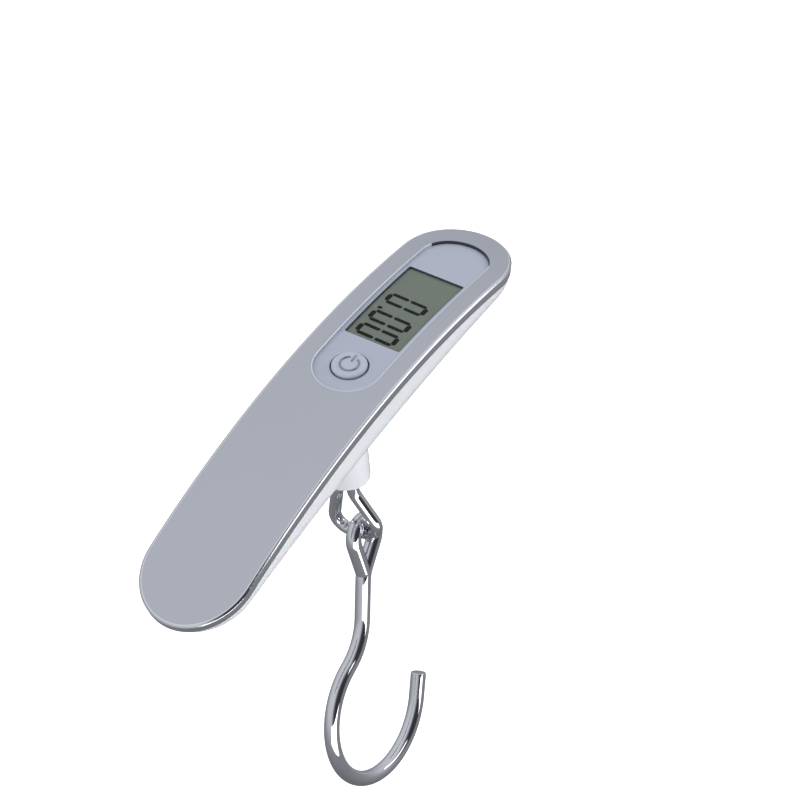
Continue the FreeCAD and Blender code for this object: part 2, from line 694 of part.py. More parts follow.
def bent_wire(start, heading, moves, radius, place):
    """Round wire bent in a plane.  Each move is (length, 0, 0) or (0, bend radius, turn in degrees)."""
    a, b = start
    direction = math.radians(heading)
    edges = []
    for length, bend, turn in moves:
        if length > 0:
            a1 = a + length * math.cos(direction)
            b1 = b + length * math.sin(direction)
            edges.append(Part.makeLine(place(a, b), place(a1, b1)))
            a, b = a1, b1
            continue
        side = 1 if turn > 0 else -1
        centre_a = a - side * bend * math.sin(direction)
        centre_b = b + side * bend * math.cos(direction)
        points = []
        for part in (0.0, 0.5, 1.0):
            angle = direction + math.radians(turn) * part - side * math.pi / 2
            points.append((centre_a + bend * math.cos(angle), centre_b + bend * math.sin(angle)))
        arc = Part.Arc(place(*points[0]), place(*points[1]), place(*points[2]))
        edges.append(arc.toShape())
        a, b = points[2]
        direction += math.radians(turn)
    first = edges[0]
    tangent = first.tangentAt(first.FirstParameter)
    ring = Part.makeCircle(radius, first.valueAt(first.FirstParameter), tangent)
    return Part.Wire(edges).makePipeShell([Part.Wire([ring])], True, False)


def hang(shape):
    """Swing a shape drawn about the load pin to the link's resting pose."""
    placed = swing_about(shape, ORIGIN, X_AXIS, LINK_SWING)
    placed.translate(FreeCAD.Vector(0, 0, LOAD_PIN_Z))
    return placed


def link():
    turn = math.radians(LINK_SPLAY)
    corner = LINK_CORNER
    tangent_out = LINK_HALF_WIDTH - corner * (1 - math.cos(turn))
    bend_out = LINK_TOP_RADIUS + LINK_SPLAY_BEND * (1 - math.cos(turn))
    run = (tangent_out - bend_out) / math.sin(turn)
    drop = LINK_SPLAY_BEND * math.sin(turn) + run * math.cos(turn)
    neck = LINK_LENGTH - corner - corner * math.sin(turn) - drop
    moves = [
        (0, LINK_TOP_RADIUS, -90),
        (neck, 0, 0),
        (0, LINK_SPLAY_BEND, LINK_SPLAY),
        (run, 0, 0),
        (0, corner, -90 - LINK_SPLAY),
        (LINK_HALF_WIDTH - corner, 0, 0),
    ]
    half = bent_wire((0, LINK_TOP_RADIUS), 0, moves, LINK_WIRE_RADIUS,
                     lambda a, b: FreeCAD.Vector(0, a, b))
    other = swing_about(half, ORIGIN, Z_AXIS, 180)
    return hang(half.fuse(other))


def hook():
    """Eye, shank, swan neck, bowl and flared tip; the eye's free end is welded to the shank."""
    top = EYE_RADIUS - EYE_CENTRE
    taper = math.radians(EYE_TAPER)
    reach = EYE_RADIUS * math.cos(taper)
    run = (reach - SHANK_BEND * (1 - math.cos(taper))) / math.sin(taper)
    leg_end = EYE_CENTRE + EYE_RADIUS * math.sin(taper)
    leg_end += run * math.cos(taper) + SHANK_BEND * math.sin(taper)
    depth = BOWL_DEPTH - SHANK_END
    swan = (BOWL_OFFSET ** 2 + depth ** 2 - BOWL_RADIUS ** 2) / (2 * (BOWL_RADIUS - BOWL_OFFSET))
    swan_turn = math.degrees(math.atan2(depth, BOWL_OFFSET + swan))
    moves = [
        (0, EYE_RADIUS, -90 - EYE_TAPER),
        (run, 0, 0),
        (0, SHANK_BEND, EYE_TAPER),
        (SHANK_END - leg_end, 0, 0),
        (0, swan, -swan_turn),
        (0, BOWL_RADIUS, 180 + swan_turn - TIP_FLARE),
        (TIP_LENGTH, 0, 0),
    ]
    main = bent_wire((0, top), 0, moves, HOOK_WIRE_RADIUS, lambda a, b: FreeCAD.Vector(a, 0, b))
    free_run = reach / math.sin(taper)
    back = [(0, EYE_RADIUS, 90 + EYE_TAPER), (free_run, 0, 0)]
    free = bent_wire((0, top), 180, back, HOOK_WIRE_RADIUS, lambda a, b: FreeCAD.Vector(a, 0, b))
    free_end = EYE_CENTRE + EYE_RADIUS * math.sin(taper) + free_run * math.cos(taper)
    weld = Part.makeSphere(HOOK_WIRE_RADIUS, FreeCAD.Vector(0, 0, -free_end))
    whole = main.fuse([free, weld])
    whole.rotate(ORIGIN, Y_AXIS, -HOOK_SWING)
    whole.rotate(ORIGIN, X_AXIS, HOOK_LEAN)
    whole.translate(FreeCAD.Vector(0, HOOK_SIDE_OFFSET, -LINK_LENGTH))
    return hang(whole)


# ---------------------------------------------------------------- export

NODES = {
    "trim_plate": trim_plate(),
    "trim_adhesive": trim_adhesive(),
    "front_frame": front_frame(),
    "display_bezel": display_bezel(),
    "display_lens": display_lens(),
    "rear_housing": rear_housing(),
    "battery_cover": battery_cover(),
    "door_hinge_pin": door_hinge_pin(),
    "power_button": power_button(),
    "button_switch": button_switch(),
    "switch_plunger": switch_plunger(),
    "lcd_panel": lcd_panel(),
    "lcd_reflector": lcd_reflector(),
    "zebra_strip_left": zebra_strip(1),
    "zebra_strip_right": zebra_strip(-1),
    "lcd_holder": lcd_holder(),
    "circuit_board": circuit_board(),
    "controller_chip": controller_chip(),
    "crystal": crystal(),
    "capacitor": board_component(8.0, 7.5, 3.2, 1.6, 1.4),
    "resistor": board_component(16.0, 7.5, 2.0, 1.2, 0.6),
    "battery": battery(),
    "battery_holder": battery_holder(),
    "battery_contact_negative": battery_contact_negative(),
    "battery_contact_positive": battery_contact_positive(),
    "load_cell": load_cell(),
    "load_hanger": load_hanger(),
    "hanger_screw": turned_screw(2.6, 1.4, 1.5, 12.0, 0.0, BEAM_TOP),
    "load_pin": load_pin(),
    "link": link(),
    "hook": hook(),
}
for index, (screw_x, screw_y) in enumerate(HOUSING_SCREWS, 1):
    NODES["housing_screw_%d" % index] = housing_screw(screw_x, screw_y)
for index, (screw_u, screw_v) in enumerate(BOARD_SCREWS, 1):
    NODES["board_screw_%d" % index] = board_screw(screw_u, screw_v)
for index, screw_x in enumerate(CELL_SCREW_X, 1):
    NODES["load_cell_screw_%d" % index] = turned_screw(2.6, 1.4, 1.5, 7.4, screw_x, BEAM_TOP)
for index, (gauge_x, gauge_up) in enumerate([(-18.0, True), (-10.0, True), (-18.0, False), (-10.0, False)], 1):
    NODES["strain_gauge_%d" % index] = strain_gauge(gauge_x, gauge_up)
for index, (wire_x, wire_y) in enumerate([(-20.0, 5.0), (-20.0, -5.0), (-12.0, 4.0), (-12.0, -4.0)], 1):
    NODES["gauge_wire_%d" % index] = gauge_wire(wire_x, wire_y)

os.makedirs("parts", exist_ok=True)
for name, shape in NODES.items():
    shape.exportStep("parts/%s.step" % name)
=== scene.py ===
import json
import math

import bmesh
import bpy
from mathutils import Matrix, Vector


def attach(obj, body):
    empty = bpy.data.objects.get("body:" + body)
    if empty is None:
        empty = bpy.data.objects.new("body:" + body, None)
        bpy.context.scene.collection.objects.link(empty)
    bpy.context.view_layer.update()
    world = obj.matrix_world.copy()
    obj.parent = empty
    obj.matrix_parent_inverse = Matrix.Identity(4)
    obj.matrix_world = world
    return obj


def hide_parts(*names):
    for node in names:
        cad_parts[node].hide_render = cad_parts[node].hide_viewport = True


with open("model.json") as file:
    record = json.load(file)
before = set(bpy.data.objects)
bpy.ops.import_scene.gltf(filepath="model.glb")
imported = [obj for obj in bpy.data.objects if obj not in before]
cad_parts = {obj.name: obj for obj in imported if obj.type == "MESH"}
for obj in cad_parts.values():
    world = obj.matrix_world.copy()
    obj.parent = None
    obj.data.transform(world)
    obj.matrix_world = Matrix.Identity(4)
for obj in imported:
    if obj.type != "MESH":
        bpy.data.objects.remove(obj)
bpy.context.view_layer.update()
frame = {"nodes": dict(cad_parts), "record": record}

MM = 0.001

# Sizes repeated from the CAD source, in millimetres and degrees.  WINDOW and READOUT hold a
# start and an end along the face, and a half width.
FACE_RADIUS = 250.0
HALF_ARC, HALF_WIDTH, END_ROUND = 78.6, 15.0, 17.2
BAND_DEPTH, BEVEL, PLATE_FACE = 2.9, 0.53, 0.8
WINDOW = (0.4, 70.9, 9.3)
READOUT = (21.0, 53.1, 8.15)
BUTTON_ARC, BUTTON_HOLE = 10.1, 5.0
LOAD_PIN_Z = -29.0
LINK_WIRE, LINK_TOP, LINK_SPLAY, LINK_BEND = 1.7, 2.75, 22.0, 6.0
LINK_HALF, LINK_CORNER, LINK_LENGTH, LINK_SWING = 6.56, 4.2, 24.0, -12.5
HOOK_WIRE, HOOK_SIDE, HOOK_LEAN, HOOK_SWING = 2.1, -1.5, -1.2, -28.84
EYE_RADIUS, EYE_CENTRE, EYE_TAPER = 4.7, 0.85, 27.0
SHANK_BEND, SHANK_END = 8.0, 23.75
BOWL_RADIUS, BOWL_OFFSET, BOWL_DEPTH = 19.3, 6.68, 50.89
TIP_FLARE, TIP_LENGTH = 5.5, 6.7


# ------------------------------------------------------------------ materials

RELIEF_MM, SCATTER_MM = 0.02, 2.0
COAT_ROUGHNESS, LEAST_ROUGHNESS = 0.08, 0.01
NOISE_SPAN = (0.3, 0.7)


def new_material(name):
    material = bpy.data.materials.new(name)
    material.use_nodes = True
    nodes = material.node_tree.nodes
    return material, nodes, material.node_tree.links, nodes["Principled BSDF"]


def surface(name, colour, rough, metal=0.0, grain=2500.0, bump=0.04, vary=0.06, rough_vary=0.08,
            stretch=(1, 1, 1), blotch=60.0, coat=0.0, specular=0.5, alpha=1.0, subsurface=0.0):
    """A Principled surface whose tone, roughness and relief come from object-space noise.

    grain and blotch are the fine and the broad noise's scales, vary and rough_vary the shares by
    which tone and roughness change over the surface."""
    material, nodes, links, shader = new_material(name)
    shader.inputs["Metallic"].default_value = metal
    shader.inputs["Specular IOR Level"].default_value = specular
    shader.inputs["Coat Weight"].default_value = coat
    shader.inputs["Coat Roughness"].default_value = COAT_ROUGHNESS
    shader.inputs["Alpha"].default_value = alpha
    if subsurface:
        shader.inputs["Subsurface Weight"].default_value = subsurface
        shader.inputs["Subsurface Scale"].default_value = SCATTER_MM * MM
    place = nodes.new("ShaderNodeTexCoord")
    mapping = nodes.new("ShaderNodeMapping")
    mapping.inputs["Scale"].default_value = stretch
    links.new(place.outputs["Object"], mapping.inputs["Vector"])

    def noise(scale, detail):
        node = nodes.new("ShaderNodeTexNoise")
        node.inputs["Scale"].default_value = scale
        node.inputs["Detail"].default_value = detail
        links.new(mapping.outputs["Vector"], node.inputs["Vector"])
        return node

    broad, fine = noise(blotch, 3.0), noise(grain, 4.0)
    tone = nodes.new("ShaderNodeMix")
    tone.data_type = "RGBA"
    low = [c * (1 - vary) for c in colour]
    high = [min(1.0, c * (1 + vary)) for c in colour]
    tone.inputs["A"].default_value = (*low, 1)
    tone.inputs["B"].default_value = (*high, 1)
    links.new(broad.outputs["Fac"], tone.inputs["Factor"])
    links.new(tone.outputs["Result"], shader.inputs["Base Color"])
    spread = nodes.new("ShaderNodeMapRange")
    spread.inputs["From Min"].default_value, spread.inputs["From Max"].default_value = NOISE_SPAN
    spread.inputs["To Min"].default_value = max(LEAST_ROUGHNESS, rough * (1 - rough_vary))
    spread.inputs["To Max"].default_value = min(1.0, rough * (1 + rough_vary))
    links.new(fine.outputs["Fac"], spread.inputs["Value"])
    links.new(spread.outputs["Result"], shader.inputs["Roughness"])
    if bump:
        relief = nodes.new("ShaderNodeBump")
        relief.inputs["Strength"].default_value = bump
        relief.inputs["Distance"].default_value = RELIEF_MM * MM
        links.new(fine.outputs["Fac"], relief.inputs["Height"])
        links.new(relief.outputs["Normal"], shader.inputs["Normal"])
    return material


LOOKS = {
    "plate": surface("plate_satin", (0.56, 0.58, 0.63), 0.36, 1.0, grain=3800, bump=0.12, vary=0.03,
                     stretch=(0.25, 1, 1), blotch=35),
    "plate_edge": surface("plate_polished", (0.86, 0.88, 0.93), 0.07, 1.0, grain=900,
                          bump=0.03, vary=0.03),
    # Dark metal for the far wall of the plate's window: painted shade.
    "window_wall": surface("window_wall_painted_shade", (0.10, 0.10, 0.12), 0.30, 1.0, grain=900, bump=0.03),
    "bevel": surface("bevel_bright", (0.80, 0.81, 0.84), 0.16, 1.0, grain=900, bump=0.02, vary=0.02),
    # Near-black for the panel's cut edges round the read-out and the button: painted shade in the gaps.
    "panel_edge": surface("panel_edge_painted_shade", (0.10, 0.105, 0.13), 0.45, grain=5200, bump=0.1,
                          specular=0.3),
    "adhesive": surface("film_white", (0.80, 0.80, 0.78), 0.6, grain=1500),
    "panel": surface("panel_matt", (0.66, 0.70, 0.82), 0.42, grain=5200, bump=0.15, vary=0.02,
                     specular=0.4),
    "lens": surface("lens_clear", (0.02, 0.02, 0.02), 0.06, grain=400, bump=0.0, alpha=0.05,
                    specular=0.15),
    "button": surface("button_satin", (0.74, 0.78, 0.90), 0.32, grain=5200, bump=0.12, vary=0.02),
    # The raised mark is glossy relief; its dark metal tone is painted shade along the relief.
    "button_mark": surface("button_mark_gloss_painted_shade", (0.36, 0.37, 0.42), 0.12, 1.0, grain=1500, bump=0.02),
    "shell": surface("shell_white", (0.92, 0.92, 0.97), 0.24, grain=700, bump=0.03, vary=0.015, coat=0.25,
                     subsurface=0.15),
    "frame": surface("frame_moulded", (0.82, 0.82, 0.85), 0.45, grain=1800, bump=0.1),
    "lcd": surface("lcd_glass", (0.28, 0.33, 0.265), 0.30, grain=3000, bump=0.02, vary=0.05, blotch=90),
    "lcd_ink": surface("lcd_segments", (0.006, 0.011, 0.006), 0.35, grain=3000, bump=0.02,
                       specular=0.2),
    "reflector": surface("reflector_matt", (0.88, 0.88, 0.86), 0.7, grain=2500, bump=0.1),
    "zebra": surface("zebra_rubber", (0.62, 0.36, 0.42), 0.6, grain=6000, bump=0.1, stretch=(4, 1, 1)),
    "holder": surface("holder_moulded", (0.84, 0.84, 0.84), 0.5, grain=1800, bump=0.1),
    "board": surface("board_mask", (0.05, 0.24, 0.11), 0.35, grain=1400, bump=0.15, vary=0.15,
                     blotch=300),
    "epoxy": surface("epoxy_black", (0.012, 0.012, 0.014), 0.18, grain=500, bump=0.1, vary=0.2),
    "crystal_can": surface("crystal_can", (0.72, 0.72, 0.73), 0.18, 1.0, grain=900, bump=0.05),
    "ceramic": surface("ceramic_tan", (0.55, 0.42, 0.28), 0.55, grain=2500, bump=0.1, vary=0.1),
    "resistor_black": surface("resistor_black", (0.02, 0.02, 0.022), 0.4, grain=2500, bump=0.1),
    "switch_case": surface("switch_case", (0.55, 0.55, 0.56), 0.32, 1.0, grain=1200, bump=0.08,
                           stretch=(1, 6, 1)),
    "plunger": surface("plunger_black", (0.02, 0.02, 0.02), 0.45, grain=2500, bump=0.1),
    "steel": surface("steel_plated", (0.56, 0.56, 0.58), 0.30, 1.0, grain=1500, bump=0.1,
                     vary=0.08, blotch=400),
    "cell": surface("cell_nickel", (0.66, 0.66, 0.67), 0.26, 1.0, grain=1500, bump=0.08,
                    stretch=(1, 8, 1)),
    "contact": surface("contact_nickel", (0.76, 0.75, 0.71), 0.20, 1.0, grain=1500, bump=0.05),
    "aluminium": surface("aluminium_milled", (0.70, 0.71, 0.73), 0.36, 1.0, grain=1800,
                         bump=0.15, stretch=(0.2, 4, 4)),
    "gauge": surface("gauge_foil", (0.68, 0.38, 0.10), 0.35, grain=4000, bump=0.1, stretch=(1, 6, 1)),
    "wire_red": surface("wire_red", (0.55, 0.04, 0.03), 0.4, grain=2000),
    "wire_black": surface("wire_black", (0.02, 0.02, 0.02), 0.4, grain=2000),
    "wire_green": surface("wire_green", (0.04, 0.30, 0.09), 0.4, grain=2000),
    "wire_white": surface("wire_white", (0.82, 0.82, 0.80), 0.4, grain=2000),
    "chrome": surface("chrome_polished", (0.70, 0.71, 0.745), 0.035, 1.0, grain=900,
                      bump=0.012, vary=0.02,
                      rough_vary=0.5, blotch=120),
}


# ------------------------------------------------------------------ carried-over CAD nodes

SLOT_OF = {part["node"]: part["material_slot"] for part in frame["record"]["subparts"]}


def dress(node, look):
    """Gives a CAD node its material, and smooth shading by the normals that it was packed with."""
    data = frame["nodes"][node].data
    data.materials.clear()
    data.materials.append(LOOKS[look])
    data.polygons.foreach_set("use_smooth", [True] * len(data.polygons))


for node, slot in SLOT_OF.items():
    dress(node, slot)


# ------------------------------------------------------------------ mesh helpers

SAME_PLACE = 1e-4
SOFT_END, END_STEPS = 0.3, 9


def finish_piece(name, mesh, look, body, nodes=(), sharp=35.0):
    """Makes a mesh a piece of the object, riding a body and taking the place of CAD nodes."""
    mesh.polygons.foreach_set("use_smooth", [True] * len(mesh.polygons))
    if sharp:
        mesh.set_sharp_from_angle(angle=math.radians(sharp))
    piece = bpy.data.objects.new(name, mesh)
    bpy.context.scene.collection.objects.link(piece)
    for key in ([look] if isinstance(look, str) else look):
        mesh.materials.append(LOOKS[key])
    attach(piece, body)
    if nodes:
        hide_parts(*nodes)
    return piece


def on_face(s, y, depth):
    """The point at an arc length along the face, a width and a depth below it, in metres."""
    angle = s / FACE_RADIUS
    radius = FACE_RADIUS - depth
    return Vector((radius * math.sin(angle), y, radius * math.cos(angle) - FACE_RADIUS)) * MM


def oval(start, end, half_width, end_length, side_step=2.0, end_count=44):
    """A closed outline with straight sides and elliptic ends, as (arc length, width) pairs."""
    low, high = start + end_length, end - end_length
    count = max(2, round((high - low) / side_step))
    sides = [low + (high - low) * i / count for i in range(1, count)]
    turn = [-math.pi / 2 + math.pi * i / end_count for i in range(end_count + 1)]
    points = [(high + end_length * math.cos(a), half_width * math.sin(a)) for a in turn]
    points += [(s, half_width) for s in reversed(sides)]
    points += [(low - end_length * math.cos(a), -half_width * math.sin(a)) for a in turn]
    points += [(s, -half_width) for s in sides]
    return points


def rounded_box(start, end, half_width, corner, step=2.0, corner_count=6):
    """A closed oblong outline with round corners, its long sides divided every step."""
    points = []
    places = [(end - corner, half_width - corner, 0), (start + corner, half_width - corner, 90),
              (start + corner, -half_width + corner, 180), (end - corner, -half_width + corner, 270)]
    for index, (s, y, turn) in enumerate(places):
        for i in range(corner_count + 1):
            a = math.radians(turn + 90 * i / corner_count)
            points.append((s + corner * math.cos(a), y + corner * math.sin(a)))
        if index % 2 == 0:
            run = end - start - 2 * corner
            count = round(run / step)
            way = -1 if index == 0 else 1
            begin = end - corner if index == 0 else start + corner
            side = half_width if index == 0 else -half_width
            points += [(begin + way * run * i / count, side) for i in range(1, count)]
    return points


def ring(centre, radius, count=96):
    """A closed round outline, centred on the face's middle line."""
    turns = [2 * math.pi * i / count for i in range(count)]
    return [(centre + radius * math.cos(a), radius * math.sin(a)) for a in turns]


def fill_outlines(mesh, loops, step):
    """Fills flat outlines with triangles, and cuts them across at every step so they can arch."""
    flat_edges = []
    for loop in loops:
        verts = [mesh.verts.new((s, y, 0)) for s, y in loop]
        flat_edges += [mesh.edges.new((a, b)) for a, b in zip(verts, verts[1:] + verts[:1])]
    bmesh.ops.triangle_fill(mesh, use_beauty=True, use_dissolve=False, edges=flat_edges, normal=(0, 0, 1))
    low = min(s for s, y in loops[0])
    high = max(s for s, y in loops[0])
    count = int((high - low) / step)
    for i in range(1, count + 1):
        at = low + (high - low) * i / (count + 1)
        bmesh.ops.bisect_plane(mesh, geom=mesh.verts[:] + mesh.edges[:] + mesh.faces[:],
                               dist=SAME_PLACE, plane_co=(at, 0, 0), plane_no=(1, 0, 0))
    for face in mesh.faces:
        if face.normal.z < 0:
            face.normal_flip()


def find_rim(mesh, flat):
    """For each vertex on the sheet's rim, the next one and the direction out of the material."""
    next_of, outward = {}, {}
    for edge in [e for e in mesh.edges if len(e.link_faces) == 1]:
        loop = edge.link_loops[0]
        a, b = loop.vert, loop.link_loop_next.vert
        d = (flat[b] - flat[a]).normalized()
        next_of[a] = b
        for v in (a, b):
            outward[v] = outward.get(v, Vector((0, 0))) + Vector((d.y, -d.x))
    for v in outward:
        outward[v].normalize()
    return next_of, outward


def nearest_outline(point, loops):
    """The index of the outline that a rim vertex lies on."""
    gaps = [min((point - Vector(p)).length for p in loop) for loop in loops]
    return gaps.index(min(gaps))


def sweep_rim(mesh, flat, next_of, outward, profile_of, placed):
    """Runs each outline's edge profile round it, and returns the profile's last vertices."""
    last = {v: v for v in outward}
    for i in range(max(len(profile) for profile in profile_of.values())):
        fresh = {}
        for v in outward:
            if i < len(profile_of[v]):
                offset, depth = profile_of[v][i]
                p = flat[v] + outward[v] * offset
                fresh[v] = mesh.verts.new((p.x, p.y, 0))
                placed[fresh[v]] = (p.x, p.y, depth)
        for a, b in next_of.items():
            if a in fresh:
                face = mesh.faces.new((last[b], last[a], fresh[a], fresh[b]))
                face.material_index = 1
        last.update(fresh)
    return last


def arched_plate(loops, top, edges, step=1.5):
    """A closed plate on the arched face.  loops are the top face's outlines, the outer one first.
    edges gives for each the (step outwards from the material, depth) pairs of its edge profile,
    and the last of them starts the underside.  All but the top face gets material index 1."""
    mesh = bmesh.new()
    fill_outlines(mesh, loops, step)
    flat = {v: Vector((v.co.x, v.co.y)) for v in mesh.verts}
    next_of, outward = find_rim(mesh, flat)
    profile_of = {v: edges[nearest_outline(flat[v], loops)] for v in outward}
    top_faces = list(mesh.faces)
    placed = {v: (flat[v].x, flat[v].y, top) for v in flat}
    under = sweep_rim(mesh, flat, next_of, outward, profile_of, placed)
    bottom = edges[0][-1][1]
    for v in flat:
        if v not in outward:
            under[v] = mesh.verts.new((flat[v].x, flat[v].y, 0))
            placed[under[v]] = (flat[v].x, flat[v].y, bottom)
    for face in top_faces:
        mesh.faces.new([under[v] for v in reversed(face.verts)]).material_index = 1
    for v, (s, y, depth) in placed.items():
        v.co = on_face(s, y, depth)
    bmesh.ops.delete(mesh, geom=[v for v in mesh.verts if not v.link_faces], context="VERTS")
    bmesh.ops.recalc_face_normals(mesh, faces=mesh.faces)
    data = bpy.data.meshes.new("plate")
    mesh.to_mesh(data)
    mesh.free()
    return data


def tube(path, side, radius, closed=False, ends=("flat", "flat"), around=48):
    """Round wire along a plane path whose plane has the normal side, with softened ends."""
    mesh = bmesh.new()
    count = len(path)
    stations = []
    for i, p in enumerate(path):
        if closed:
            d = path[(i + 1) % count] - path[i - 1]
        else:
            d = path[min(i + 1, count - 1)] - path[max(i - 1, 0)]
        stations.append((p, d.normalized(), radius))
    if not closed:
        for end, kind in enumerate(ends):
            p, d, _ = stations[0 if end == 0 else -1]
            out = -d if end == 0 else d
            soft = radius if kind == "round" else SOFT_END * MM
            base = p - out * (0 if kind == "round" else soft)
            extra = [(base + out * soft * math.sin(a), d, radius - soft + soft * math.cos(a))
                     for a in [math.radians(90 * k / END_STEPS) for k in range(END_STEPS + 1)]]
            extra = [station for station in extra if station[2] > SAME_PLACE * 0.01]
            if end == 0:
                stations = extra[::-1] + stations[1:]
            else:
                stations = stations[:-1] + extra
    rings = []
    for p, d, r in stations:
        across = side.cross(d).normalized()
        rings.append([mesh.verts.new(p + (across * math.cos(a) + side * math.sin(a)) * r)
                      for a in [2 * math.pi * k / around for k in range(around)]])
    pairs = list(zip(rings, rings[1:] + (rings[:1] if closed else [])))
    for a, b in pairs:
        for k in range(around):
            mesh.faces.new((a[k], a[(k + 1) % around], b[(k + 1) % around], b[k]))
    if not closed:
        mesh.faces.new(rings[0][::-1])
        mesh.faces.new(rings[-1])
    bmesh.ops.recalc_face_normals(mesh, faces=mesh.faces)
    data = bpy.data.meshes.new("wire")
    mesh.to_mesh(data)
    mesh.free()
    return data


def plane_path(start, heading, moves, step=0.8, turn_step=3.0):
    """Points of a bent wire.  Each move is (length, 0, 0) or (0, bend radius, turn in degrees)."""
    a, b = start
    heading = math.radians(heading)
    points = [(a, b)]
    for length, bend, turn in moves:
        if length > 0:
            count = max(1, round(length / step))
            for i in range(1, count + 1):
                gone = length * i / count
                points.append((a + gone * math.cos(heading), b + gone * math.sin(heading)))
            a, b = points[-1]
            continue
        way = 1 if turn > 0 else -1
        ca, cb = a - way * bend * math.sin(heading), b + way * bend * math.cos(heading)
        count = max(3, round(abs(turn) / turn_step), round(bend * math.radians(abs(turn)) / step))
        for i in range(1, count + 1):
            angle = heading + math.radians(turn) * i / count - way * math.pi / 2
            points.append((ca + bend * math.cos(angle), cb + bend * math.sin(angle)))
        a, b = points[-1]
        heading += math.radians(turn)
    return points


# ------------------------------------------------------------------ trim plate

PLATE_RIM, WINDOW_RIM = 0.8, 0.3
# From here on the window's wall is dark metal: painted shade.
PAINTED_SHADE_WALL_FROM = WINDOW[1] - 6.0
NEAR_WINDOW = 1.0


def grown(window, by):
    """A round-ended window's outline, made larger all round."""
    start, end, half_width = window
    return oval(start - by, end + by, half_width + by, half_width + by)


def true_top(piece):
    """Gives the top face the arched face's exact normals, whatever its triangles."""
    data = piece.data
    normals = [Vector(corner.vector) for corner in data.corner_normals]
    for polygon in data.polygons:
        if polygon.material_index == 0:
            for index in polygon.loop_indices:
                p = data.vertices[data.loops[index].vertex_index].co
                normals[index] = Vector((p.x, 0, p.z + FACE_RADIUS * MM)).normalized()
    data.normals_split_custom_set(normals)


def edge_look(polygon):
    """The material index of one of the trim plate's edge faces: 2 for the far wall of the
    window, which is dark metal as painted shade, 3 for the bevel round the outer edge, or 1."""
    x, y, z = polygon.center / MM
    along = FACE_RADIUS * math.atan2(x, z + FACE_RADIUS)
    depth = FACE_RADIUS - math.hypot(x, z + FACE_RADIUS)
    start, end, half_width = WINDOW
    beside = abs(y) < half_width + 0.5
    if beside and start - NEAR_WINDOW < along < end + NEAR_WINDOW:
        return 2 if depth < PLATE_FACE - 0.01 and along > PAINTED_SHADE_WALL_FROM else 1
    return 3 if depth < BEVEL and polygon.normal.z > 0.2 else 1


plate_outline = oval(-HALF_ARC + PLATE_RIM, HALF_ARC - PLATE_RIM, HALF_WIDTH - PLATE_RIM,
                     END_ROUND - PLATE_RIM)
outer_edge = [(0.18, 0.0), (0.25, 0.012), (0.31, 0.045), (0.73, 0.465), (0.775, 0.52), (PLATE_RIM, 0.60),
              (PLATE_RIM, 0.75), (PLATE_RIM, 2.70), (0.78, 2.80), (0.70, 2.88), (0.62, BAND_DEPTH),
              (-0.2, BAND_DEPTH), (-0.2, PLATE_FACE)]
window_edge = [(0.14, 0.0), (0.20, 0.006), (0.27, 0.03), (WINDOW_RIM, 0.09), (WINDOW_RIM, 0.2),
               (WINDOW_RIM, PLATE_FACE)]
plate_mesh = arched_plate([plate_outline, grown(WINDOW, WINDOW_RIM)], 0.0, [outer_edge, window_edge])
for polygon in plate_mesh.polygons:
    if polygon.material_index == 1:
        polygon.material_index = edge_look(polygon)
true_top(finish_piece("trim_plate_sheet", plate_mesh, ["plate", "plate_edge", "window_wall", "bevel"],
                      "grip", ["trim_plate"], sharp=50))


# ------------------------------------------------------------------ display panel

PANEL_LAP, OPENING_RIM, PANEL_SHEET = 1.25, 0.2, 1.0
OPENING_CORNER = 0.45


def grown_box(by, corner):
    """The read-out's outline, made larger all round."""
    start, end, half_width = READOUT
    return rounded_box(start - by, end + by, half_width + by, corner)


panel_bottom = PLATE_FACE + PANEL_SHEET
soft_rim = [(0.09, 0.0), (0.14, 0.01), (0.18, 0.04), (OPENING_RIM, 0.10), (OPENING_RIM, 0.16),
            (OPENING_RIM, PANEL_SHEET)]
soft_rim = [(offset, PLATE_FACE + depth) for offset, depth in soft_rim]
panel_rim = [(0.05, PLATE_FACE + 0.05), (0.05, panel_bottom)]
panel_mesh = arched_plate(
    [grown(WINDOW, PANEL_LAP), grown_box(OPENING_RIM, OPENING_CORNER),
     ring(BUTTON_ARC, BUTTON_HOLE + OPENING_RIM)], PLATE_FACE, [panel_rim, soft_rim, soft_rim])
# All the panel's cut edges take the dark panel_edge material: painted shade.
true_top(finish_piece("display_panel", panel_mesh, ["panel", "panel_edge"], "grip",
                      ["display_bezel"], sharp=50))


# ------------------------------------------------------------------ lens and read-out

LENS_TOP, LCD_DEPTH = 1.05, 1.32
INK_ABOVE, INK_BELOW = 0.035, 0.02
DIGIT_CENTRES = (24.4, 30.5, 38.7)
DIGIT_ACROSS, DIGIT_WIDTH, DIGIT_HEIGHT = 0.5, 4.7, 12.2
STROKE, STROKE_GAP, SLANT = 1.15, 0.17, 0.4
POINT = ((33.5, 34.5), (5.1, 6.3))

lens_mesh = arched_plate([grown_box(-0.1, 0.4)], LENS_TOP, [[(0.03, 1.06), (0.03, 1.15)]])
true_top(finish_piece("lens_window", lens_mesh, ["lens", "lens"], "grip", ["display_lens"]))
film_mesh = arched_plate([grown_box(-0.05, 0.3)], LCD_DEPTH, [[(0.0, 1.36), (0.0, 1.5)]])
true_top(finish_piece("lcd_front_film", film_mesh, ["lcd", "lcd"], "grip"))


def segment(start, end, thickness):
    """A long hexagon between two points, as a flat outline."""
    d = (Vector(end) - Vector(start)).normalized()
    n = Vector((-d.y, d.x)) * thickness / 2
    a, b = Vector(start), Vector(end)
    tip = d * thickness * 0.42
    return [tuple(p) for p in (a, a + tip + n, b - tip + n, b, b - tip - n, a + tip - n)]


